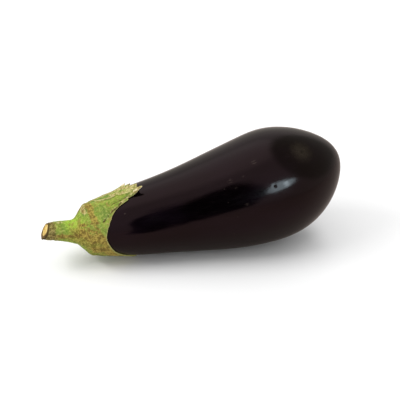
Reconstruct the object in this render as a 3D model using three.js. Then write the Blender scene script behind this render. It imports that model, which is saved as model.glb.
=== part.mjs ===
// An eggplant lying on its side: a glossy pear-shaped fruit, and the green calyx that grows out of its cut stem
// and grips the fruit's shoulder with five pointed lobes.
// Millimetres, +Z up. +X runs from the stem to the blossom end. The origin is under the middle, on the surface
// that the fruit rests on.

import * as THREE from "three";

const DEGREE = Math.PI / 180;

// The fruit: its length, and its radius at a few places along it, counted from the shoulder.
const FRUIT_LENGTH = 211.5;
const RADIUS_AT = [8, 20, 38, 62, 88, 114, 140, 164, 188];
const RADIUS = [16, 20.6, 25.8, 29.8, 34.3, 39.5, 43.4, 43.8, 34.5];
const SHOULDER_CURVE = 24;
const BLOSSOM_CURVE = 23;

// The height of the fruit's middle line over the surface it lies on. Its belly would reach a little below that
// surface, and is pressed flat there.
const HEIGHT_AT = [0, 52, 105, 158, 211];
const HEIGHT = [26.9, 31, 36.9, 47.9, 68.4];

// The stem: its radius and where it is measured, the lift of its cut end, and the slant of the cut.
const STEM_END = -24.5;
const STEM_RADIUS_AT = [STEM_END, -18, -9, -4, 0];
const STEM_RADIUS = [5.7, 7, 8, 8.6, 10.1];
const STEM_LIFT = 6.6;
const LIFT_STARTS = 6;
const LIFT_CURVE = 1.1;
const CUT_SLANT = 0.6;

// The calyx: a fleshy cap that thins towards a lobed rim, 0.3 off the fruit.
const SKIN_GAP = 0.3;
const CAP_THICKNESS = 2.6;
const RIM_THICKNESS = 0.9;
const THINNING_LENGTH = 22;
const RIM_REACH = 18.5;
const LOBE_BLEND = 3;
const CAP_STARTS = 9;

// Each lobe: the angle round the fruit from its top towards -Y, its length past the rim, its half width in
// degrees, how blunt its point is, and how far the dry point curls up off the fruit.
const LOBES = [
  { angle: 0, length: 37, halfWidth: 23, bluntness: 2.2, curl: 2.6 },
  { angle: 165, length: 28, halfWidth: 24, bluntness: 2, curl: 0.3 },
  { angle: 216, length: 31, halfWidth: 16, bluntness: 1.6, curl: 0.5 },
  { angle: 263, length: 34, halfWidth: 15, bluntness: 1.6, curl: 0.9 },
  { angle: 311, length: 31, halfWidth: 16, bluntness: 1.6, curl: 1.4 },
];
const CURL_LENGTH = 12;
const CURL_HALF_WIDTH = 11;
const RIB_HEIGHT = 0.7;
const RIB_HALF_WIDTH = 15;
const STEM_RIB_SHARE = 0.6;

// How finely the surfaces are divided.
const FRUIT_RINGS = 52;
const FRUIT_SIDES = 56;
const CALYX_SIDES = 84;
const INNER_STEPS = 9;
const CAP_POINTS = 6;
const OUTER_STEPS = 24;

// A smooth curve through a few values: a cubic spline, with level ends or free ones.
function smoothCurve(at, value, levelEnds) {
  const last = at.length - 1;
  const step = at.slice(1).map((x, i) => x - at[i]);
  const slope = step.map((h, i) => (value[i + 1] - value[i]) / h);
  const diagonal = [levelEnds ? 2 * step[0] : 1];
  const above = [levelEnds ? step[0] : 0];
  const bend = [levelEnds ? 6 * slope[0] : 0];
  for (let i = 1; i <= last; i++) {
    const atEnd = i === last;
    const below = atEnd && !levelEnds ? 0 : step[i - 1];
    const factor = below / diagonal[i - 1];
    const middle = atEnd ? (levelEnds ? 2 * step[i - 1] : 1) : 2 * (step[i - 1] + step[i]);
    const right = atEnd ? (levelEnds ? -6 * slope[i - 1] : 0) : 6 * (slope[i] - slope[i - 1]);
    diagonal[i] = middle - factor * above[i - 1];
    above[i] = atEnd ? 0 : step[i];
    bend[i] = right - factor * bend[i - 1];
  }
  bend[last] /= diagonal[last];
  for (let i = last - 1; i >= 0; i--) {
    bend[i] = (bend[i] - above[i] * bend[i + 1]) / diagonal[i];
  }
  return (x) => {
    let i = 0;
    while (i < last - 1 && x > at[i + 1]) i++;
    const u = x - at[i];
    const rise = slope[i] - (step[i] * (2 * bend[i] + bend[i + 1])) / 6;
    return value[i] + u * (rise + u * (bend[i] / 2 + (u * (bend[i + 1] - bend[i])) / (6 * step[i])));
  };
}

// The fruit's length is walked by an angle that is 0 at the shoulder and half a turn at the blossom end.
const walkTo = (x) => Math.acos(1 - (2 * x) / FRUIT_LENGTH);
const placeOf = (walk) => (FRUIT_LENGTH / 2) * (1 - Math.cos(walk));

const fullness = smoothCurve(
  [0, ...RADIUS_AT.map(walkTo), Math.PI],
  [
    Math.sqrt((SHOULDER_CURVE * FRUIT_LENGTH) / 2),
    ...RADIUS.map((radius, i) => radius / Math.sin(walkTo(RADIUS_AT[i]))),
    Math.sqrt((BLOSSOM_CURVE * FRUIT_LENGTH) / 2),
  ],
  true,
);
const fruitRadius = (walk) => fullness(walk) * Math.sin(walk);
const middleHeight = smoothCurve(HEIGHT_AT, HEIGHT, false);

// A point off the middle line: x along it, out from it by radius, at an angle from the top towards -Y.
function aroundMiddle(x, radius, angle) {
  const reach = 0.01;
  const climb = (middleHeight(x + reach) - middleHeight(x - reach)) / (2 * reach);
  const tilt = Math.atan(climb);
  const up = radius * Math.cos(angle);
  return new THREE.Vector3(
    x - up * Math.sin(tilt),
    -radius * Math.sin(angle),
    middleHeight(x) + up * Math.cos(tilt),
  );
}

// The fruit's outline moved out along its own normal: how far along it lies, and its radius.
function outlineOver(walk, out) {
  const reach = 0.001;
  const grow = (fruitRadius(walk + reach) - fruitRadius(walk - reach)) / (2 * reach);
  const run = (FRUIT_LENGTH / 2) * Math.sin(walk);
  const size = Math.hypot(grow, run);
  return new THREE.Vector2(
    placeOf(walk) - (out * grow) / size,
    fruitRadius(walk) + (out * run) / size,
  );
}

// A lathe whose points are then placed one by one: place(step, angle) gives each point of its profile.
function shapedLathe(steps, sides, place) {
  const profile = [];
  for (let step = 0; step <= steps; step++) profile.push(new THREE.Vector2(1, step));
  const geometry = new THREE.LatheGeometry(profile, sides);
  const position = geometry.getAttribute("position");
  for (let i = 0; i < position.count; i++) {
    const side = Math.floor(i / profile.length) % sides;
    const point = place(i % profile.length, (side / sides) * 2 * Math.PI);
    position.setXYZ(i, point.x, point.y, point.z);
  }
  geometry.computeVertexNormals();
  return geometry;
}

// The fruit, flat where it lies.
function makeFruit() {
  const geometry = shapedLathe(FRUIT_RINGS, FRUIT_SIDES, (step, angle) => {
    const walk = (step / FRUIT_RINGS) * Math.PI;
    const point = aroundMiddle(placeOf(walk), fruitRadius(walk), angle);
    point.z = Math.max(point.z, 0);
    return point;
  });
  const skin = new THREE.MeshStandardMaterial({ color: 0x1f1418, roughness: 0.16, metalness: 0 });
  const fruit = new THREE.Mesh(geometry, skin);
  fruit.name = "fruit";
  return fruit;
}

// The turn from one angle to another, the short way round, in degrees.
const turnBetween = (angle, lobe) => ((angle / DEGREE - lobe.angle + 540) % 360) - 180;

// How far along the fruit the rim reaches at an angle: a smooth union of the lobes.
function rimReach(angle) {
  let sum = 0;
  for (const lobe of LOBES) {
    const turn = Math.abs(turnBetween(angle, lobe)) / lobe.halfWidth;
    sum += (lobe.length / (1 + turn ** lobe.bluntness)) ** LOBE_BLEND;
  }
  return RIM_REACH + sum ** (1 / LOBE_BLEND);
}

// How far the calyx stands off the fruit where a dry lobe curls up, at an angle and a distance along the fruit.
function curlAt(angle, along) {
  let off = 0;
  for (const lobe of LOBES) {
    const turn = turnBetween(angle, lobe) / CURL_HALF_WIDTH;
    const intoTip = Math.max(1 - (RIM_REACH + lobe.length - along) / CURL_LENGTH, 0);
    off += lobe.curl * Math.exp(-turn * turn) * intoTip * intoTip;
  }
  return off;
}

// Ribs run down the middle of each lobe and on down the stem.
function ribs(angle) {
  let height = 0;
  for (const lobe of LOBES) {
    const turn = turnBetween(angle, lobe) / RIB_HALF_WIDTH;
    height += RIB_HEIGHT * Math.exp(-turn * turn);
  }
  return height;
}

// The outside of the calyx and stem at one angle, from the rim to the cut.
function outsideAt(angle) {
  const rimWalk = walkTo(rimReach(angle));
  const rib = ribs(angle);
  const points = [];
  for (let step = 0; step <= CAP_POINTS; step++) {
    const walk = THREE.MathUtils.lerp(rimWalk, walkTo(CAP_STARTS), step / CAP_POINTS);
    const fromRim = (placeOf(rimWalk) - placeOf(walk)) / THINNING_LENGTH;
    const flesh = 1 - Math.exp(-fromRim * fromRim);
    const thickness = RIM_THICKNESS + (CAP_THICKNESS - RIM_THICKNESS + rib) * flesh;
    points.push(outlineOver(walk, SKIN_GAP + thickness + curlAt(angle, placeOf(walk))));
  }
  for (let i = STEM_RADIUS_AT.length - 1; i >= 0; i--) {
    points.push(new THREE.Vector2(STEM_RADIUS_AT[i], STEM_RADIUS[i] + STEM_RIB_SHARE * rib));
  }
  return new THREE.SplineCurve(points).getPoints(OUTER_STEPS);
}

// The stem lifts away from the middle line, and its cut is slanted, longer below than above.
function onStem(outline, angle) {
  const away = Math.max(LIFT_STARTS - outline.x, 0) / (LIFT_STARTS - STEM_END);
  const point = aroundMiddle(outline.x, outline.y, angle);
  point.z += STEM_LIFT * away ** LIFT_CURVE;
  point.x += CUT_SLANT * outline.y * Math.cos(angle) * away ** 6;
  return point;
}

// The calyx and stem: from the middle of the cut along the outside to the rim, then back along the inner skin.
function makeCalyxAndStem() {
  const outsides = new Map();
  const rimStep = OUTER_STEPS + 1;
  const poleStep = rimStep + 1 + INNER_STEPS;
  const geometry = shapedLathe(poleStep, CALYX_SIDES, (step, angle) => {
    if (step === 0) return onStem(new THREE.Vector2(STEM_END, 0), angle);
    if (!outsides.has(angle)) outsides.set(angle, outsideAt(angle));
    if (step <= rimStep) return onStem(outsides.get(angle)[rimStep - step], angle);
    const walk = walkTo(rimReach(angle)) * ((poleStep - step) / INNER_STEPS);
    const inner = outlineOver(walk, SKIN_GAP + curlAt(angle, placeOf(walk)));
    return aroundMiddle(inner.x, step === poleStep ? 0 : inner.y, angle);
  });
  const green = new THREE.MeshStandardMaterial({ color: 0x8a9b45, roughness: 0.6, metalness: 0 });
  const calyx = new THREE.Mesh(geometry, green);
  calyx.name = "calyx_and_stem";
  return calyx;
}

// Both pieces, moved together so that the origin is under the middle of the whole.
const eggplant = new THREE.Group();
const pieces = new THREE.Group();
pieces.add(makeFruit(), makeCalyxAndStem());
const box = new THREE.Box3().setFromObject(pieces);
pieces.position.set(-(box.min.x + box.max.x) / 2, -(box.min.y + box.max.y) / 2, -box.min.z);
eggplant.add(pieces);

export default eggplant;
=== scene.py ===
import math

import bpy
import numpy as np
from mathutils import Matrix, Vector, noise


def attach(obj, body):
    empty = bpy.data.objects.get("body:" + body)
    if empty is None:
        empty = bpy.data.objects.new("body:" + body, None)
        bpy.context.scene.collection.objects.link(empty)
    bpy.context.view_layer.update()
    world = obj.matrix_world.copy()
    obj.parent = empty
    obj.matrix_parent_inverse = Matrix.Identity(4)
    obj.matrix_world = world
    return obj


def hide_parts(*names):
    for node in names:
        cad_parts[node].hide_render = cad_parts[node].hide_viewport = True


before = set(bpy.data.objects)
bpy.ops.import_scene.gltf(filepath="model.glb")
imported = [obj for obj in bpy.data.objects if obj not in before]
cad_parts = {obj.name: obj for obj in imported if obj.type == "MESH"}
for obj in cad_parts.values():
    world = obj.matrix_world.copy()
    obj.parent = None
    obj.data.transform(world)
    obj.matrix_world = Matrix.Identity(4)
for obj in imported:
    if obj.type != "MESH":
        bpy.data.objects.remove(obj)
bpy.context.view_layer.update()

MM = 0.001

# The fruit's own dimensions, in millimetres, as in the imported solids: its length, its radius at a few places
# counted from the shoulder, and the height of its middle line over the floor.
FRUIT_LENGTH = 211.5
RADIUS_AT = [8, 20, 38, 62, 88, 114, 140, 164, 188]
RADIUS = [16, 20.6, 25.8, 29.8, 34.3, 39.5, 43.4, 43.8, 34.5]
SHOULDER_CURVE = 24
BLOSSOM_CURVE = 23
HEIGHT_AT = [0, 52, 105, 158, 211]
HEIGHT = [26.9, 31, 36.9, 47.9, 68.4]
# How far along the fruit the origin lies.
MIDDLE_X = 92.851

# The stem and the calyx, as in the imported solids.
STEM_END = -24.5
STEM_RADIUS_AT = [STEM_END, -18, -9, -4, 0]
STEM_RADIUS = [5.7, 7, 8, 8.6, 10.1]
STEM_LIFT = 6.6
LIFT_STARTS = 6
LIFT_CURVE = 1.1
CUT_SLANT = 0.6
SLANT_CURVE = 6
SKIN_GAP = 0.3
CAP_THICKNESS = 2.6
RIM_THICKNESS = 0.9
THINNING_LENGTH = 22
RIM_REACH = 18.5
LOBE_BLEND = 3
CAP_STARTS = 9
CURL_LENGTH = 12
CURL_HALF_WIDTH = 11
RIB_HEIGHT = 0.7
RIB_HALF_WIDTH = 15
STEM_RIB_SHARE = 0.6
CAP_POINTS = 6

# Each lobe: angle round the fruit from its top towards -Y, length, half width in degrees, bluntness and curl.
# The last three curl 0.1 to 0.2 millimetres more than in the solids, and the rest is the same.
LOBES = [
    (0, 37, 23, 2.2, 2.6),
    (165, 28, 24, 2, 0.3),
    (216, 31, 16, 1.6, 0.6),
    (263, 34, 15, 1.6, 1.1),
    (311, 31, 16, 1.6, 1.6),
]


def smooth_curve(at, value, level_ends):
    """A cubic spline through a few values, with level ends or free ones."""
    at, value = np.array(at, float), np.array(value, float)
    step = np.diff(at)
    slope = np.diff(value) / step
    last = len(at) - 1
    rows, right = np.zeros((last + 1, last + 1)), np.zeros(last + 1)
    for i in range(1, last):
        rows[i, i - 1 : i + 2] = step[i - 1], 2 * (step[i - 1] + step[i]), step[i]
        right[i] = 6 * (slope[i] - slope[i - 1])
    rows[0, 0] = rows[last, last] = 1
    if level_ends:
        rows[0, :2] = 2 * step[0], step[0]
        rows[last, -2:] = step[-1], 2 * step[-1]
        right[0], right[last] = 6 * slope[0], -6 * slope[-1]
    bend = np.linalg.solve(rows, right)

    def curve(x):
        i = np.clip(np.searchsorted(at, x, side="right") - 1, 0, last - 1)
        u = x - at[i]
        rise = slope[i] - step[i] * (2 * bend[i] + bend[i + 1]) / 6
        return value[i] + u * (rise + u * (bend[i] / 2 + u * (bend[i + 1] - bend[i]) / (6 * step[i])))

    return curve


def walk_to(x):
    """The fruit's length is walked by an angle: 0 at the shoulder and half a turn at the blossom end."""
    return np.arccos(np.clip(1 - 2 * np.asarray(x, float) / FRUIT_LENGTH, -1, 1))


def place_of(walk):
    return FRUIT_LENGTH / 2 * (1 - np.cos(walk))


fullness = smooth_curve(
    [0, *walk_to(RADIUS_AT), math.pi],
    [
        math.sqrt(SHOULDER_CURVE * FRUIT_LENGTH / 2),
        *(RADIUS / np.sin(walk_to(RADIUS_AT))),
        math.sqrt(BLOSSOM_CURVE * FRUIT_LENGTH / 2),
    ],
    True,
)
middle_height = smooth_curve(HEIGHT_AT, HEIGHT, False)


def fruit_radius(walk):
    return fullness(walk) * np.sin(walk)


def around_middle(x, radius, angle):
    """A point off the middle line: x along it, out from it by radius, at an angle from the top towards -Y."""
    reach = 0.01
    climb = (middle_height(x + reach) - middle_height(x - reach)) / (2 * reach)
    tilt = np.arctan(climb)
    up = radius * np.cos(angle)
    along = x - up * np.sin(tilt)
    height = middle_height(x) + up * np.cos(tilt)
    return np.stack(np.broadcast_arrays(along, -radius * np.sin(angle), height), -1)


def outline_over(walk, out):
    """The fruit's outline moved out along its own normal: how far along it lies, and its radius."""
    reach = 0.001
    grow = (fruit_radius(walk + reach) - fruit_radius(walk - reach)) / (2 * reach)
    run = FRUIT_LENGTH / 2 * np.sin(walk)
    size = np.hypot(grow, run)
    return np.stack([place_of(walk) - out * grow / size, fruit_radius(walk) + out * run / size], -1)


def catmull_rom(points, steps):
    """A smooth curve through points (..., n, 2), with steps + 1 samples."""
    count = points.shape[-2]
    t = np.linspace(0, count - 1, steps + 1)
    i = np.minimum(t.astype(int), count - 2)
    u = (t - i)[:, None]
    p0, p1 = points[..., np.maximum(i - 1, 0), :], points[..., i, :]
    p2, p3 = points[..., i + 1, :], points[..., np.minimum(i + 2, count - 1), :]
    v0, v1 = (p2 - p0) / 2, (p3 - p1) / 2
    return (2 * p1 - 2 * p2 + v0 + v1) * u**3 + (3 * p2 - 3 * p1 - 2 * v0 - v1) * u**2 + v0 * u + p1


def surface_noise(points, size, octaves):
    """Smooth noise in -1..1 at each point, whose blobs are about size millimetres across."""
    flat = (np.asarray(points, float) / size).reshape(-1, 3)
    value = [noise.fractal(Vector(p), 1.0, 2.0, octaves) for p in flat.tolist()]
    return np.clip(np.array(value), -1, 1).reshape(np.asarray(points).shape[:-1])


def wander(points, size):
    """A smooth shift at each point, each part of it within -1..1."""
    return np.stack([surface_noise(points + 200 * turn, size, 2) for turn in (1, 2, 3)], -1)


def grid_normals(points):
    """Outward normals of a grid of rings (rows) and sides (columns, closed)."""
    along = np.gradient(points, axis=0)
    around = (np.roll(points, -1, 1) - np.roll(points, 1, 1)) / 2
    normal = np.cross(around, along)
    return normal / np.maximum(np.linalg.norm(normal, axis=-1, keepdims=True), 1e-9)


def grid_piece(name, points, attributes):
    """A closed mesh from rings of points, whose first and last rings are single points."""
    rings, sides = points.shape[:2]
    vertices = np.concatenate([points[0, :1], points[1:-1].reshape(-1, 3), points[-1, :1]])
    last = len(vertices) - 1
    faces = []
    for side in range(sides):
        after = (side + 1) % sides
        faces.append((0, 1 + after, 1 + side))
        for ring in range(rings - 3):
            a, b = 1 + ring * sides + side, 1 + ring * sides + after
            faces.append((a, b, b + sides, a + sides))
        end = 1 + (rings - 3) * sides
        faces.append((end + side, end + after, last))
    mesh = bpy.data.meshes.new(name)
    moved = (vertices - (MIDDLE_X, 0, 0)) * MM
    mesh.from_pydata(moved.tolist(), [], faces)
    mesh.shade_smooth()
    for key, value in attributes.items():
        if value.ndim == 3:
            value = np.concatenate([value[0, :1], value[1:-1].reshape(-1, 3), value[-1, :1]])
            layer = mesh.attributes.new(key, "FLOAT_VECTOR", "POINT")
            layer.data.foreach_set("vector", value.astype(np.float32).ravel())
        else:
            value = np.concatenate([value[0, :1], value[1:-1].ravel(), value[-1, :1]])
            layer = mesh.attributes.new(key, "FLOAT", "POINT")
            layer.data.foreach_set("value", value.astype(np.float32))
    piece = bpy.data.objects.new(name, mesh)
    bpy.context.scene.collection.objects.link(piece)
    return piece


# The fruit

FRUIT_RINGS = 280
FRUIT_SIDES = 208

# Places on the skin, by millimetres along the fruit and degrees round it from its top towards -Y.
SCAR = (184.5, 36)
PIT = (152.8, 60.6)

# Hollows in the skin: place, depth and half width. The blossom scar has a small bump in its middle.
HOLLOWS = [
    (SCAR, 0.55, 6.5),
    (SCAR, -0.35, 1.6),
    (PIT, 0.4, 1.1),
]

# Scuffs on the skin: millimetres along the fruit, degrees round it, and size in millimetres.
SCUFFS = [
    (127.6, 70.0, 1.6),
    (120.2, 40.4, 2.0),
    (144.3, 30.0, 2.2),
    (131.4, 40.0, 1.0),
    (36.5, 44.0, 0.9),
    (123.3, 49.6, 1.0),
]

# The skin swells and sinks in long low waves that run along the fruit, and in finer ones over them: height,
# how much of the length counts (a small share draws the wave out lengthways), and size across.
SKIN_WAVES = [
    (0.16, 0.4, 26),
    (0.03, 0.5, 8),
]

# The belly is pressed flat where it lies, with an edge that is rounded over this many millimetres.
BELLY_SOFTNESS = 0.5


def skin_point(x, degrees):
    """A point on the fruit's skin, in millimetres in its own frame."""
    walk = walk_to(x)
    return around_middle(x, fruit_radius(walk), math.radians(degrees))


def make_fruit():
    walk = np.linspace(0, math.pi, FRUIT_RINGS + 1)[:, None]
    angle = np.linspace(0, 2 * math.pi, FRUIT_SIDES, endpoint=False)[None, :]
    x, radius = place_of(walk), fruit_radius(walk)
    points = around_middle(x + 0 * angle, radius + 0 * angle, angle + 0 * walk)
    # Where each point would be if the fruit were straight. The grain of the skin follows it.
    aside, up = radius * np.sin(angle), radius * np.cos(angle)
    straight = np.stack(np.broadcast_arrays(x + 0 * angle, aside, up), -1)
    swell = 0
    for height, length_share, size in SKIN_WAVES:
        swell = swell + height * surface_noise(straight * (length_share, 1, 1), size, 2)
    for place, depth, half_width in HOLLOWS:
        away = np.linalg.norm(points - skin_point(*place), axis=-1)
        swell = swell - depth * np.exp(-((away / half_width) ** 2))
    # The waves and hollows fade out at both ends.
    fade = np.sin(walk) ** 0.5
    points = points + grid_normals(points) * (swell * fade)[..., None]
    height = points[..., 2]
    points[..., 2] = (height + np.sqrt(height**2 + BELLY_SOFTNESS**2)) / 2
    return grid_piece("fruit_skin", points, {"straight": straight * MM})


# The calyx and its stem

CALYX_SIDES = 360
CUT_STEPS = 22
OUTER_STEPS = 150
EDGE_STEPS = 5
INNER_STEPS = 20
# The first and the last ring of the calyx's outside, and the first one of its inner skin.
FIRST_OUTER = CUT_STEPS
LAST_OUTER = CUT_STEPS + OUTER_STEPS
FIRST_INNER = LAST_OUTER + EDGE_STEPS + 1
# How much closer together the sides are at the top, and how far the rounded rim bulges.
TOP_CROWDING = 0.35
RIM_BULGE = 0.8

# Where the rim reaches further than the plain lobes, or less far: by how much, the angle, and the half width
# in degrees.
RIM_SHIFTS = [
    # The near bay, the near side of the top lobe, and the lobe underneath.
    (-1.5, 85, 24),
    (0.8, 50, 20),
    (-4.5, 168, 14),
    # The top lobe's dry, crooked tip, the notch below it, the edge set back above it, and the flank below the
    # notch.
    (7.2, 13.2, 3.0),
    (-2.0, 18.0, 1.5),
    (-5.0, 0, 7),
    (2.6, 21.5, 4.0),
    # A dry sliver on the lobe's far edge.
    (6.0, -23, 3.5),
]

# The dry end of the top lobe lifts further, and so does its far edge: height, angle, half width in degrees,
# how far along the lift starts, over what length it grows, and its curve.
DRY_FLAPS = [
    (4.0, 13, 4.6, 44, 8, 1.3),
    (2.2, -23, 6, 35, 9, 1.5),
]

# A path over the shoulder of the cap, which is dry and faintly brown.
SHOULDER_PATH = [(6, -40), (7.5, -20), (7.5, 12)]

# The marks on the calyx, each made of strokes: strength, width in millimetres, and the places that it runs
# through. A place is a distance along the fruit and an angle round it.
MARKS = {
    # The long groove on the near side of the top lobe, and two finer ones behind its tip.
    # Their dark line is painted shade in the grooves.
    "crease": [
        (1.0, 0.75, [(19.9, 48.5), (23.8, 40.2), (28.2, 33.1), (32.5, 27.8), (36, 22.5)]),
        (0.85, 0.65, [(28, 20), (34.3, 18), (40.4, 15.8), (43.7, 13.8)]),
        (0.7, 0.45, [(27, 7.6), (33.7, 7.4), (40, 8.6), (44, 10)]),
    ],
    # The dry ridge that runs out to the tip.
    "ridge": [(1.0, 0.8, [(15, -12), (18, -2), (25.6, 5), (33.7, 4.6), (41.4, 6), (46, 8)])],
    # A crest over the root of the top lobe, and the raised middle of the others.
    "crest": [
        (1.0, 3.0, [(10, -33), (8, -12), (10.5, 4.5)]),
        *[(0.8, 1.3, [(9, turn), (RIM_REACH + length * 0.8, turn)]) for turn, length, *_ in LOBES[1:]],
    ],
    # Dry tan skin: along the long groove and on to the tip, on the far edge, over the shoulder of the cap,
    # and on the top of the stem.
    "dry": [
        (0.55, 1.5, [(21, 46), (23.8, 40.2), (28.2, 33.1), (32.5, 27.8), (36, 22.5), (41, 15), (46, 11)]),
        (1.0, 1.0, [(36, 22.5), (40.4, 17), (46, 14), (51, 13)]),
        (0.9, 3.4, [(15, -26), (26, -18), (38, -14), (48, -6)]),
        (0.63, 2.2, [(30, -3), (40, 0), (50, 3)]),
        (0.9, 3.0, SHOULDER_PATH),
        (0.6, 1.8, [(-22, 6), (-11, 2)]),
    ],
    # The brown band across the shoulder of the cap: partly brown skin, partly painted shade beside its hump.
    "band": [
        (0.4, 3.0, SHOULDER_PATH),
        (1.0, 2.9, [(10.8, -2), (12.3, 11)]),
        (1.0, 2.2, [(12, 17), (13.7, 44)]),
        (1.0, 1.7, [(3.2, 41), (5.2, 43)]),
        (0.5, 1.2, [(6.5, 45), (12, 47)]),
    ],
    # Brown patches on the near side, between the lobes behind, and down the side of the stem.
    "brown": [
        (1.0, 4.0, [(3, 66), (9, 85), (15, 80), (20, 92)]),
        (1.0, 4.0, [(10, 118), (18, 112), (24, 140)]),
        (0.7, 2.0, [(8, 60), (13, 66)]),
        (0.55, 2.0, [(12, 47), (15, 62)]),
        (0.85, 1.7, [(-21, 104), (-10, 90), (0, 83), (5, 78)]),
        *[(0.8, 3.8, [(5, angle + 16), (14, angle + 28)]) for angle, *_ in LOBES[1:]],
    ],
    # Partly the calyx's own olive and partly painted shade: an olive cast on the lower near side.
    "olive": [
        (1.0, 9.0, [(0, 84), (8, 96), (16, 110)]),
        (1.0, 8.0, [(18, 100), (26, 140), (36, 165)]),
        (0.7, 3.0, [(-20, 100), (0, 95)]),
        (0.5, 6.0, [(8, 140), (14, 150)]),
    ],
    # Small dark specks.
    "spots": [
        (0.7, 0.9, [(3.6, 41), (4.8, 43)]),
        (1.0, 0.8, [(25, 5), (26.3, 6)]),
        (0.6, 0.6, [(7, 46), (11, 48)]),
        (0.8, 0.5, [(-8.6, 38), (-7.8, 39)]),
        (0.5, 0.7, [(46.5, 10.5), (49, 9)]),
    ],
    # The cream knot near the end of the dry tip.
    "knot": [(1.0, 0.8, [(48.0, 13), (49.2, 13.4)])],
}

# How far these marks stand out, in millimetres, or sink in. The band's height varies with the fine noise.
MARK_HEIGHTS = {"ridge": 0.6, "crest": 0.35, "crease": -0.55, "spots": -0.3, "knot": 0.9}
BAND_HEIGHT = 0.3

# How high the rest of the small relief is, in millimetres.
ROUGH_HEIGHT = 0.20
FINE_HEIGHT = 0.11
STREAK_HEIGHT = 0.22
CORK_HEIGHT = 0.35
DRY_TIP_HEIGHT = 0.45
CUT_RING_HEIGHT = 0.35
CORE_DEPTH = 0.45
CORE_ROUGH_HEIGHT = 0.25

# Where along the stem its cork and its bark start, and over how many millimetres they set in.
CORK_STARTS, CORK_FADE = -15.0, 5
BARK_STARTS, BARK_FADE = -22.3, 1.5

# The cut's pale core ends at this share of its radius, a little further out above and on the far side.
CORE_SHARE = 0.75
CORE_FADE = 0.1

# How wide the pale line along the rim is, and how far a point has to lift to be dry all over.
RIM_LINE = 0.65
DRY_LIFT = 1.4


def turn_between(degrees, lobe_angle):
    """The turn from one angle to another, the short way round."""
    return (degrees - lobe_angle + 540) % 360 - 180


def hump(degrees, middle, half_width):
    """1 at an angle round the fruit, falling smoothly to 0 on both sides of it."""
    return np.exp(-((turn_between(degrees, middle) / half_width) ** 2))


def most(*marks):
    return np.maximum.reduce(marks)


def unit_circle(angle):
    """A place for noise that goes with the angle alone and closes on itself."""
    return np.stack([np.cos(angle), np.sin(angle), 0 * angle], -1)


def rings_between(points, first, end):
    """1 on the rings of a grid from first to just before end, and 0 on the others."""
    mask = np.zeros(points.shape[:2])
    mask[first:end] = 1
    return mask


def rim_reach(degrees):
    """How far along the fruit the rim reaches: a smooth union of the lobes, with a frayed edge."""
    total = 0
    for angle, length, half_width, bluntness, _ in LOBES:
        turn = np.abs(turn_between(degrees, angle)) / half_width
        total = total + (length / (1 + turn**bluntness)) ** LOBE_BLEND
    reach = RIM_REACH + total ** (1 / LOBE_BLEND)
    for millimetres, middle, half_width in RIM_SHIFTS:
        reach = reach + millimetres * hump(degrees, middle, half_width)
    circle = unit_circle(np.radians(degrees))
    # The edge is frayed all round, and most of all at the end of the top lobe.
    reach = reach + 0.3 * surface_noise(circle, 0.12, 2) + 0.22 * surface_noise(circle + 5, 0.04, 2)
    return reach + 1.3 * hump(degrees, -4, 20) * surface_noise(circle + 9, 0.06, 2)


def curl_at(degrees, along):
    """How far the calyx stands off the fruit where a dry lobe curls up."""
    off = 0
    for angle, length, _, _, curl in LOBES:
        turn = turn_between(degrees, angle) / CURL_HALF_WIDTH
        into_tip = np.maximum(1 - (RIM_REACH + length - along) / CURL_LENGTH, 0)
        off = off + curl * np.exp(-turn * turn) * into_tip**2
    for lift, middle, half_width, start, length, curve in DRY_FLAPS:
        into_flap = np.clip((along - start) / length, 0, 1)
        off = off + lift * hump(degrees, middle, half_width) * into_flap**curve
    return off


def ribs(degrees):
    """Ribs run down the middle of each lobe and on down the stem."""
    height = 0
    for angle, *_ in LOBES:
        height = height + RIB_HEIGHT * hump(degrees, angle, RIB_HALF_WIDTH)
    return height


def on_stem(x, radius, angle):
    """The stem lifts away from the middle line, and its cut is slanted, longer below than above."""
    away = np.maximum(LIFT_STARTS - x, 0) / (LIFT_STARTS - STEM_END)
    point = around_middle(x, radius, angle)
    point[..., 2] += STEM_LIFT * away**LIFT_CURVE
    point[..., 0] += CUT_SLANT * radius * np.cos(angle) * away**SLANT_CURVE
    return point


def calyx_outline(degrees):
    """The rings of the calyx and stem, as distance along the fruit and radius, and how far the rim reaches.

    The rings run from the middle of the cut along the outside to the rim, and back along the inner skin.
    """
    rim_walk = walk_to(rim_reach(degrees))
    rib = ribs(degrees)
    cap = []
    for step in range(CAP_POINTS + 1):
        walk = rim_walk + (walk_to(CAP_STARTS) - rim_walk) * step / CAP_POINTS
        from_rim = (place_of(rim_walk) - place_of(walk)) / THINNING_LENGTH
        flesh = 1 - np.exp(-from_rim * from_rim)
        thickness = RIM_THICKNESS + (CAP_THICKNESS - RIM_THICKNESS + rib) * flesh
        cap.append(outline_over(walk, SKIN_GAP + thickness + curl_at(degrees, place_of(walk))))
    for x, radius in reversed(list(zip(STEM_RADIUS_AT, STEM_RADIUS))):
        cap.append(np.stack([np.full_like(degrees, x), radius + STEM_RIB_SHARE * rib], -1))
    outside = catmull_rom(np.stack(cap, 1), OUTER_STEPS).transpose(1, 0, 2)[::-1]
    # The cut, from its middle to the outside.
    share = np.linspace(0, 1, CUT_STEPS, endpoint=False)[:, None]
    cut = np.stack([np.full((CUT_STEPS, CALYX_SIDES), STEM_END), share * outside[0, :, 1]], -1)
    # The inner skin, from the rim back to the fruit's pole.
    walk = rim_walk * np.linspace(1, 0, INNER_STEPS + 1)[:, None]
    inner = outline_over(walk, SKIN_GAP + curl_at(degrees, place_of(walk)))
    inner[-1, :, 1] = 0
    # The rim between them is rounded.
    rim_out, rim_in = outside[-1], inner[0]
    middle, half = (rim_out + rim_in) / 2, (rim_out - rim_in) / 2
    forward = np.stack([half[:, 1], -half[:, 0]], -1)
    turn = np.linspace(0, math.pi, EDGE_STEPS + 2)[1:-1, None, None]
    edge = middle + np.cos(turn) * half + np.sin(turn) * forward * RIM_BULGE
    return np.concatenate([cut, outside, edge, inner]), place_of(rim_walk)


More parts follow.
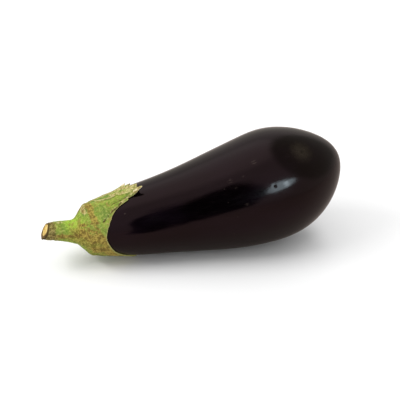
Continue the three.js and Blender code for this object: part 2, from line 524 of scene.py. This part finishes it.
def along_path(points, path, width):
    """1 on a path across the surface, falling to 0 within about width millimetres beside it."""
    nearest = np.full(points.shape[:-1], np.inf)
    for start, end in zip(path, path[1:]):
        run = end - start
        t = np.clip(((points - start) @ run) / max(run @ run, 1e-9), 0, 1)
        nearest = np.minimum(nearest, np.linalg.norm(points - start - t[..., None] * run, axis=-1))
    return np.exp(-((nearest / width) ** 2))


def calyx_marks(points, along, degrees, outer):
    """The marks of MARKS with wavering edges, each as a share of 0 to 1 at every point."""
    wavering = points + 0.9 * wander(points, 4.0) + 0.35 * wander(points + 90, 1.4)

    def spot(x, at_degrees):
        """The point of the calyx's outside at a distance along it and an angle."""
        side = int(np.argmin(np.abs(turn_between(degrees, at_degrees))))
        ring = FIRST_OUTER + int(np.argmin(np.abs(along[FIRST_OUTER:LAST_OUTER, side] - x)))
        return points[ring, side]

    marks = {}
    for name, strokes in MARKS.items():
        drawn = [
            strength * along_path(wavering, [spot(*place) for place in path], width)
            for strength, width, path in strokes
        ]
        marks[name] = most(*drawn) * outer
    return marks


def make_calyx():
    around = np.linspace(0, 2 * math.pi, CALYX_SIDES, endpoint=False)
    angle = around - TOP_CROWDING * np.sin(around)
    degrees = np.degrees(angle)
    outline, rim = calyx_outline(degrees)
    along, radius = outline[..., 0], outline[..., 1]
    points = on_stem(along, radius, angle + 0 * along)
    points[-1] = points[-1, :1]
    on_cut = rings_between(points, 0, CUT_STEPS)
    outer = rings_between(points, FIRST_OUTER, LAST_OUTER + 1)
    inside = rings_between(points, FIRST_INNER, None)
    marks = calyx_marks(points, along, degrees, outer)

    # The stem is corky towards the cut and has dark bark at the cut's edge. The cut has a pale core.
    ragged = 2.5 * surface_noise(points + 30, 5.0, 2)
    cork = np.clip((CORK_STARTS - along + ragged) / CORK_FADE, 0, 1) * outer
    bark = np.clip((BARK_STARTS - along) / BARK_FADE, 0, 1) * outer
    radius_share = np.where(on_cut > 0, radius / radius[FIRST_OUTER], 1.0)
    core_edge = CORE_SHARE + 0.10 * np.cos(angle) - 0.14 * np.sin(angle)
    core_edge = core_edge + 0.10 * surface_noise(unit_circle(angle), 0.8, 2)
    core = np.clip((core_edge - radius_share) / CORE_FADE, 0, 1) * on_cut
    # The rim's edge, the lifted tips, and a painted highlight: brighter green where the stem meets the cap.
    rim_edge = np.exp(-((np.maximum(rim - along, 0) / RIM_LINE) ** 2)) * (along > 0)
    tip = np.clip(curl_at(degrees, along) / DRY_LIFT, 0, 1) * (along > 0)
    bright = np.exp(-(((along + 2.5) / 10) ** 2)) * (0.65 + 0.35 * hump(degrees, 15, 40)) * outer

    # The small relief, in millimetres: a rough skin, streaks along the stem, and the marks' own heights.
    rough = surface_noise(points, 3.2, 3)
    fine = surface_noise(points + 50, 1.1, 2)
    long_way = np.stack(np.broadcast_arrays(along * 0.12, np.cos(angle) * 3, np.sin(angle) * 3), -1)
    streak = surface_noise(long_way, 0.4, 2)
    out = outer * (ROUGH_HEIGHT * rough + FINE_HEIGHT * fine)
    out += outer * STREAK_HEIGHT * streak * np.clip((-6 - along) / 8, 0.25, 1)
    for name, height in MARK_HEIGHTS.items():
        out += height * marks[name]
    out += BAND_HEIGHT * marks["band"] * (0.5 + fine)
    out += CORK_HEIGHT * cork * surface_noise(points * (1.6, 0.6, 0.6), 2.0, 2)
    out += DRY_TIP_HEIGHT * tip * outer * surface_noise(points + 70, 1.8, 2)
    # The underside swells where the stem meets the cap, and the cut has a raised ring and a sunken core.
    out += outer * np.exp(-(((along + 2) / 6) ** 2)) * np.clip(-np.cos(angle), 0, 1)
    ring = np.exp(-(((radius_share - 0.92) / 0.09) ** 2))
    out += on_cut * (CUT_RING_HEIGHT * ring - CORE_DEPTH * core + CORE_ROUGH_HEIGHT * core * rough)
    points = points + grid_normals(points) * out[..., None]
    points[0] = points[0].mean(0)
    points[-1] = points[-1, :1]
    return grid_piece(
        "calyx_and_stem_flesh",
        points,
        {
            "crease": marks["crease"],
            "dry": most(marks["ridge"], marks["dry"], 0.6 * marks["crest"], tip),
            "brown": most(marks["band"], marks["brown"]),
            "olive": marks["olive"],
            "spots": most(marks["spots"], 0.9 * bark),
            "bright": bright,
            "cork": cork,
            "core": core,
            "cut": on_cut,
            "rim": most(rim_edge, 0.9 * marks["ridge"]),
            # Cream on the knot, the dry sliver and the lifted tip's edge; on that edge partly a painted
            # highlight.
            "cream": most(marks["knot"], rim_edge * hump(degrees, 12, 3), 0.6 * tip * hump(degrees, -23, 8)),
            "inside": inside,
        },
    )


# Materials


class Tree:
    """A material's or a world's nodes, added in a line each."""

    def __init__(self, owner):
        owner.use_nodes = True
        self.nodes, self.links = owner.node_tree.nodes, owner.node_tree.links
        self.nodes.clear()

    def add(self, kind, inputs=None, **settings):
        new = self.nodes.new("ShaderNode" + kind)
        for key, value in settings.items():
            setattr(new, key, value)
        for key, value in (inputs or {}).items():
            if isinstance(value, bpy.types.NodeSocket):
                self.links.new(value, new.inputs[key])
            else:
                new.inputs[key].default_value = value
        return new

    def math(self, operation, *values, clamp=False):
        return self.add("Math", dict(enumerate(values)), operation=operation, use_clamp=clamp).outputs[0]

    def vector(self, operation, *values):
        return self.add("VectorMath", dict(enumerate(values)), operation=operation).outputs[0]

    def length(self, a, b):
        return self.add("VectorMath", {0: a, 1: b}, operation="DISTANCE").outputs["Value"]

    def mix(self, factor, a, b):
        """Colour a turning into colour b. The node takes colours at sockets 6 and 7, and gives one at 2."""
        return self.add("Mix", {0: factor, 6: a, 7: b}, data_type="RGBA").outputs[2]

    def noise(self, vector, scale, detail=3, roughness=0.55, distortion=0.0):
        inputs = {"Vector": vector, "Scale": scale, "Detail": detail, "Roughness": roughness}
        inputs["Distortion"] = distortion
        return self.add("TexNoise", inputs).outputs["Fac"]

    def range(self, value, low, high, to_low=0.0, to_high=1.0):
        """value from low..high to to_low..to_high, smoothly, and no further."""
        inputs = {"Value": value, "From Min": low, "From Max": high, "To Min": to_low, "To Max": to_high}
        return self.add("MapRange", inputs, interpolation_type="SMOOTHSTEP").outputs[0]

    def attribute(self, name):
        return self.add("Attribute", attribute_name=name)

    def factor(self, name):
        return self.attribute(name).outputs["Fac"]

    def bump(self, height, distance, strength=1.0, normal=None):
        inputs = {"Height": height, "Distance": distance, "Strength": strength}
        if normal is not None:
            inputs["Normal"] = normal
        return self.add("Bump", inputs).outputs[0]

    def show(self, shader):
        self.add("OutputMaterial", {"Surface": shader.outputs[0]})


def colour(red, green, blue):
    """A colour given as on a screen, 0 to 255, for a shader."""
    linear = [c / 3294.6 if c <= 10.31 else ((c / 255 + 0.055) / 1.055) ** 2.4 for c in (red, green, blue)]
    return (*linear, 1)


def in_frame(point):
    return tuple((np.array(point) - (MIDDLE_X, 0, 0)) * MM)


# The skin's colours, for a shader. They are so dark that nearly all of what shows on it is mirrored.
SKIN_DEEP = (0.0006, 0.0002, 0.0004, 1)
SKIN_VIOLET = (0.0024, 0.0010, 0.0026, 1)
SKIN_STREAK = (0.0028, 0.0014, 0.0020, 1)
SKIN_OLIVE = (0.0032, 0.0026, 0.0014, 1)
SKIN_MIRROR_TINT = (1, 0.66, 0.70, 1)
SKIN_IOR = 1.33
SCAR_PALE = (0.0190, 0.0155, 0.0095, 1)
SCAR_DARK = (0.004, 0.003, 0.002, 1)
SPECK_PALE = (0.035, 0.028, 0.024, 1)
SCUFF_PALE = (0.030, 0.023, 0.019, 1)
# Painted shade in the pit's hollow.
PIT_DARK = (0.0004, 0.0003, 0.0003, 1)


def skin_material():
    material = bpy.data.materials.new("eggplant_skin")
    tree = Tree(material)
    place = tree.add("TexCoord").outputs["Object"]
    straight = tree.attribute("straight").outputs["Vector"]
    long_way = tree.vector("MULTIPLY", straight, (0.09, 1, 1))
    streak = tree.noise(long_way, 420, detail=4, roughness=0.6)
    broad = tree.noise(tree.vector("MULTIPLY", straight, (0.35, 1, 1)), 45)
    base = tree.mix(tree.range(broad, 0.35, 0.7), SKIN_DEEP, SKIN_VIOLET)
    base = tree.mix(tree.range(streak, 0.52, 0.75, 0, 0.5), base, SKIN_STREAK)
    # The pale scar that the flower left, with a ragged edge and a small dark middle.
    away = tree.length(place, in_frame(skin_point(*SCAR)))
    ragged = tree.math("ADD", away, tree.math("MULTIPLY", tree.noise(place, 350), 0.006))
    patch = tree.range(ragged, 0.0040, 0.0150, 1, 0)
    base = tree.mix(tree.math("MULTIPLY", patch, 0.85), base, SCAR_PALE)
    middle = tree.range(ragged, 0.0034, 0.0052, 1, 0)
    base = tree.mix(tree.math("MULTIPLY", middle, 0.7), base, SCAR_DARK)
    # The olive cast of the blossom end.
    end = tree.range(tree.add("SeparateXYZ", {0: straight}).outputs[0], 0.150, 0.200)
    base = tree.mix(tree.math("MULTIPLY", end, 0.35), base, SKIN_OLIVE)
    # Fine pale specks, and a few small scuffs.
    dots = tree.add("TexVoronoi", {"Vector": straight, "Scale": 210, "Randomness": 1.0})
    lone = tree.range(tree.add("SeparateColor", {0: dots.outputs["Color"]}).outputs[0], 0.93, 0.96)
    speck = tree.math("MULTIPLY", tree.range(dots.outputs["Distance"], 0.05, 0.11, 1, 0), lone)
    base = tree.mix(tree.math("MULTIPLY", speck, 0.5), base, SPECK_PALE)
    rubbed = tree.noise(long_way, 1300, detail=4, roughness=0.7)
    for x, degrees, size in SCUFFS:
        away = tree.length(place, in_frame(skin_point(x, degrees)))
        near = tree.range(away, 0.2 * size * MM, 1.5 * size * MM, 1, 0)
        scuff = tree.math("MULTIPLY", near, tree.range(rubbed, 0.48, 0.62, 0, 0.8))
        base = tree.mix(scuff, base, SCUFF_PALE)
    # The small pit is darkened: painted shade in its hollow.
    pit = tree.range(tree.length(place, in_frame(skin_point(*PIT))), 0.0007, 0.0012, 1, 0)
    base = tree.mix(pit, base, PIT_DARK)
    # The skin is a little rougher in its streaks, and more so at the scar and in the pit.
    rough = tree.math("ADD", tree.range(broad, 0.3, 0.7, 0.12, 0.17), tree.range(streak, 0.4, 0.7, 0.0, 0.04))
    rough = tree.math("ADD", rough, tree.math("MULTIPLY", patch, 0.12))
    rough = tree.math("ADD", rough, tree.math("MULTIPLY", pit, 0.6), clamp=True)
    normal = tree.bump(tree.noise(long_way, 300, detail=4), distance=0.00008, strength=0.7)
    normal = tree.bump(tree.noise(straight, 900), distance=0.00002, strength=0.4, normal=normal)
    inputs = {"Base Color": base, "Roughness": rough, "Normal": normal}
    inputs["IOR"] = SKIN_IOR
    inputs["Specular Tint"] = SKIN_MIRROR_TINT
    tree.show(tree.add("BsdfPrincipled", inputs))
    return material


# The calyx's colours, as on a screen. Where there are two, the grain mixes the dark one with the light one.
GREEN_SHADE = (104, 126, 50)
GREEN = (130, 148, 54)
# Painted highlight: the brighter green where the stem meets the cap.
GREEN_PAINTED_HIGHLIGHT = (148, 180, 54)
GREEN_DULL = (100, 118, 42)
GRAIN_PALE = (166, 164, 88)
GRAIN_DARK = (86, 102, 34)
STRAY_TAN = (142, 126, 62)
# Partly painted shade: the olive cast of the lower near side.
OLIVE = (108, 98, 32), (158, 148, 66)
TAN = (134, 116, 58), (198, 184, 132)
BROWN = (118, 100, 40), (168, 148, 68)
BROWN_DARK = (92, 72, 26)
CORK = (84, 68, 28), (146, 130, 76)
# Painted shade in the grooves.
CREASE_PAINTED_SHADE = (76, 66, 26)
SPOT_DARK = (72, 54, 22)
RIM_PALE = (176, 166, 108)
# Cream, and partly a painted highlight along the lifted tip's edge.
CREAM = (218, 204, 168)
INNER_SKIN = (150, 150, 96)
BARK = (66, 46, 22), (122, 94, 50)
PITH_PALE = (226, 200, 124)
PITH_DARK = (176, 140, 66)


def calyx_material():
    material = bpy.data.materials.new("eggplant_calyx")
    tree = Tree(material)
    place = tree.add("TexCoord").outputs["Object"]
    grain = tree.noise(place, 640, detail=4, roughness=0.7)
    mottle = tree.noise(place, 280, detail=4, roughness=0.65, distortion=0.5)
    cloud = tree.noise(place, 100)

    def grainy(dark, light, low=0.42, high=0.58):
        """A dark and a light colour, mixed by the grain."""
        return tree.mix(tree.range(grain, low, high), colour(*dark), colour(*light))

    def broken(name, strength, low, high, by_mottle=0.9, by_grain=0.7):
        """A mark from the mesh, shown as it rises from low to high, with edges broken up by the noise."""
        mask = tree.factor(name)
        edge = tree.math("MULTIPLY", tree.math("SUBTRACT", mottle, 0.5), by_mottle)
        edge = tree.math("ADD", edge, tree.math("MULTIPLY", tree.math("SUBTRACT", grain, 0.5), by_grain))
        shown = tree.range(tree.math("ADD", mask, edge), low, high, 0, strength)
        return tree.math("MULTIPLY", shown, tree.range(mask, 0.03, 0.25))

    # Green, with lighter and darker grain.
    base = tree.mix(tree.range(cloud, 0.40, 0.60), colour(*GREEN_SHADE), colour(*GREEN))
    # Painted highlight: brighter green where the stem meets the cap, from the mesh's bright mark.
    base = tree.mix(broken("bright", 0.9, 0.2, 0.9, 0.5, 0.5), base, colour(*GREEN_PAINTED_HIGHLIGHT))
    base = tree.mix(tree.range(mottle, 0.49, 0.60, 0, 0.6), base, colour(*GREEN_DULL))
    base = tree.mix(tree.range(grain, 0.52, 0.62, 0, 0.7), base, colour(*GRAIN_PALE))
    base = tree.mix(tree.range(grain, 0.38, 0.47, 0.6, 0), base, colour(*GRAIN_DARK))
    # Here and there the skin is dry and tan.
    stray = tree.math("MULTIPLY", tree.range(mottle, 0.53, 0.62), tree.range(cloud, 0.42, 0.56, 0, 0.8))
    base = tree.mix(stray, base, colour(*STRAY_TAN))
    # The marks from the mesh, each over the one before.
    dark_places = tree.range(mottle, 0.50, 0.60, 0, 0.75)
    brown = tree.mix(dark_places, grainy(*BROWN, 0.38, 0.62), colour(*BROWN_DARK))
    # The olive cast, partly painted shade on the lower near side.
    base = tree.mix(broken("olive", 0.9, 0.15, 0.75), base, grainy(*OLIVE))
    base = tree.mix(broken("dry", 0.9, 0.25, 0.75), base, grainy(*TAN))
    # Brown patches, and the shoulder's band, which is partly painted shade.
    base = tree.mix(broken("brown", 0.95, 0.15, 0.65), base, brown)
    base = tree.mix(broken("cork", 0.9, 0.2, 0.7), base, grainy(*CORK))
    # Painted shade: a dark line along the grooves.
    base = tree.mix(broken("crease", 0.95, 0.3, 0.7), base, colour(*CREASE_PAINTED_SHADE))
    base = tree.mix(broken("spots", 0.95, 0.2, 0.7), base, colour(*SPOT_DARK))
    # The rim is a thin pale line, creamy at the tip. The cut shows dark bark round a cream core.
    base = tree.mix(broken("rim", 0.65, 0.25, 0.8, 0.4, 0.5), base, colour(*RIM_PALE))
    # Cream, and on the lifted tip's edge partly a painted highlight.
    base = tree.mix(broken("cream", 0.9, 0.15, 0.5, 0.2, 0.3), base, colour(*CREAM))
    base = tree.mix(tree.factor("inside"), base, colour(*INNER_SKIN))
    base = tree.mix(tree.factor("cut"), base, grainy(*BARK))
    pith = tree.mix(tree.range(mottle, 0.4, 0.65), colour(*PITH_PALE), colour(*PITH_DARK))
    base = tree.mix(tree.factor("core"), base, pith)
    rough = tree.range(mottle, 0.3, 0.7, 0.5, 0.72)
    normal = tree.bump(mottle, distance=0.0007, strength=0.7)
    normal = tree.bump(grain, distance=0.0004, strength=0.7, normal=normal)
    inputs = {"Base Color": base, "Roughness": rough, "Normal": normal}
    inputs["Specular IOR Level"] = 0.15
    tree.show(tree.add("BsdfPrincipled", inputs))
    return material


# The studio: a pale floor, soft light from above and all round, and what the glossy skin mirrors

FLOOR_HALF, TABLE_HALF = 3000, 900
TABLE_HEIGHT = 0.02
FLOOR_TONE = (0.8, 0.8, 0.8)
TABLE_TONE = (0.44, 0.375, 0.34)

# The cards stand upright in front of the fruit, each at its own distance and with its outline in x and z, in
# millimetres. The dark one makes the black band on the skin, and the window and the glint its highlight.
DARK_CARD_Y = -155
DARK_OUTLINE = [
    (-60, -2), (-84, -8), (-118, -5), (-100, 18), (-94, 48), (-112, 92), (-104, 125), (-95, 148), (-76, 170),
    (-80, 240), (-70, 284), (-50, 280), (-8, 197), (13, 160), (36, 108), (37, 90), (26, 56), (0, 46),
    (-16, 45), (-30, 29), (-46, 0),
]
DARK_TONE = (0.0, 0.0, 0.0)
WINDOW_Y = -567
WINDOW_OUTLINE = [(-10, 226), (4, 340), (82, 405), (360, 425), (405, 371), (240, 262), (60, 196)]
WINDOW_TONE = (0.59, 1.04, 1.08)
WINDOW_STRENGTH = 9.5
GLINT_Y = -566
GLINT_OUTLINE = [(148, 338), (231, 395), (245, 328), (205, 252), (181, 281)]
GLINT_STRENGTH = 22

DOME_RADIUS = 1.15
DOME_MIDDLE = (0.02, 0, 0.04)
ROOM_LOW = (0.56, 0.52, 0.47, 1)
ROOM_HIGH = (0.74, 0.71, 0.72, 1)
CEILING = (1.18, 1.16, 1.15, 1)
DIM_CORNER = (0.33, 0.335, 0.285, 1)

WORLD_STRENGTH = 0.92

CAMERA_AZIMUTH = -14.92
CAMERA_ELEVATION = 30
CAMERA_DISTANCE = 0.9
CAMERA_TARGET = (5.78, 0, 40.92)
CAMERA_LENS = 102.92
CAMERA_SENSOR = 36


def only_mirrored(thing):
    thing.visible_camera = thing.visible_diffuse = thing.visible_shadow = thing.visible_transmission = False


def flat_card(name, corners, material):
    mesh = bpy.data.meshes.new(name)
    mesh.from_pydata([[c * MM for c in corner] for corner in corners], [], [tuple(range(len(corners)))])
    card = bpy.data.objects.new(name, mesh)
    bpy.context.scene.collection.objects.link(card)
    mesh.materials.append(material)
    return card


def level_card(name, half, height, tone):
    corners = [(-half, -half, height), (half, -half, height), (half, half, height), (-half, half, height)]
    return flat_card(name, corners, plain(name, tone))


def upright_card(name, y, outline, material):
    return flat_card(name, [(x, y, z) for x, z in outline], material)


def plain(name, tone):
    material = bpy.data.materials.new(name)
    tree = Tree(material)
    tree.show(tree.add("BsdfDiffuse", {"Color": (*tone, 1)}))
    return material


def glow(name, tone, strength):
    material = bpy.data.materials.new(name)
    tree = Tree(material)
    tree.show(tree.add("Emission", {"Color": (*tone, 1), "Strength": strength}))
    return material


def dome_material():
    """What the skin mirrors: a bright ceiling, a plain room, and a dim corner past the blossom end."""
    material = bpy.data.materials.new("studio_dome")
    tree = Tree(material)
    direction = tree.vector("NORMALIZE", tree.add("TexCoord").outputs["Object"])

    def facing(x, y, z, low, high):
        """0 to 1 as the direction turns towards (x, y, z), between two cosines."""
        size = math.sqrt(x * x + y * y + z * z)
        inputs = {0: direction, 1: (x / size, y / size, z / size)}
        towards = tree.add("VectorMath", inputs, operation="DOT_PRODUCT")
        return tree.range(towards.outputs["Value"], low, high)

    room = tree.mix(facing(0, -0.2, 1, -0.1, 0.9), ROOM_LOW, ROOM_HIGH)
    light = tree.mix(facing(-0.27, 0.32, 0.91, 0.80, 0.95), room, CEILING)
    light = tree.mix(facing(1, 0, 1, 0.66, 0.80), light, DIM_CORNER)
    tree.show(tree.add("Emission", {"Color": light, "Strength": 1.0}))
    return material


def make_dome():
    bpy.ops.mesh.primitive_uv_sphere_add(segments=64, ring_count=32, radius=DOME_RADIUS, location=DOME_MIDDLE)
    dome = bpy.context.object
    dome.name = "studio_dome"
    dome.data.materials.append(dome_material())
    only_mirrored(dome)


def area_light(name, place, size, energy):
    """A soft light that hangs flat over the floor. The skin mirrors the cards and the dome, and not this."""
    data = bpy.data.lights.new(name, "AREA")
    data.shape = "RECTANGLE"
    data.size, data.size_y = size
    data.energy = energy
    light = bpy.data.objects.new(name, data)
    light.location = place
    light.visible_glossy = False
    bpy.context.scene.collection.objects.link(light)


def make_studio():
    floor = level_card("floor", FLOOR_HALF, 0, FLOOR_TONE)
    floor.visible_glossy = False
    only_mirrored(level_card("table", TABLE_HALF, TABLE_HEIGHT, TABLE_TONE))
    only_mirrored(upright_card("dark_side", DARK_CARD_Y, DARK_OUTLINE, plain("dark_side", DARK_TONE)))
    window = glow("window", WINDOW_TONE, WINDOW_STRENGTH)
    only_mirrored(upright_card("window", WINDOW_Y, WINDOW_OUTLINE, window))
    glint = glow("glint", WINDOW_TONE, GLINT_STRENGTH)
    only_mirrored(upright_card("glint", GLINT_Y, GLINT_OUTLINE, glint))
    make_dome()
    area_light("key", place=(-0.80, 0.0, 0.90), size=(0.34, 0.75), energy=8.5)
    area_light("fill", place=(0.40, 0.30, 0.90), size=(0.34, 1.3), energy=4.0)
    world = bpy.data.worlds.new("studio")
    bpy.context.scene.world = world
    tree = Tree(world)
    sky = tree.add("Background", {"Color": (1, 1, 1, 1), "Strength": WORLD_STRENGTH})
    tree.add("OutputWorld", {"Surface": sky.outputs[0]})
    world.cycles_visibility.glossy = False


def make_camera():
    """Seen from 30 degrees above, a little from the stem's side."""
    azimuth, elevation = math.radians(CAMERA_AZIMUTH), math.radians(CAMERA_ELEVATION)
    level = math.cos(elevation)
    back = Vector((math.sin(azimuth) * level, -math.cos(azimuth) * level, math.sin(elevation)))
    data = bpy.data.cameras.new("camera")
    data.lens = CAMERA_LENS
    data.sensor_width = CAMERA_SENSOR
    camera = bpy.data.objects.new("camera", data)
    camera.location = Vector(CAMERA_TARGET) * MM + CAMERA_DISTANCE * back
    camera.rotation_euler = back.to_track_quat("Z", "Y").to_euler()
    bpy.context.scene.collection.objects.link(camera)
    bpy.context.scene.camera = camera


make_camera()
make_studio()
bpy.context.scene.view_settings.view_transform = "Standard"

fruit = make_fruit()
fruit.data.materials.append(skin_material())
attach(fruit, "root")
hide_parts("fruit")

calyx = make_calyx()
calyx.data.materials.append(calyx_material())
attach(calyx, "root")
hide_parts("calyx_and_stem")
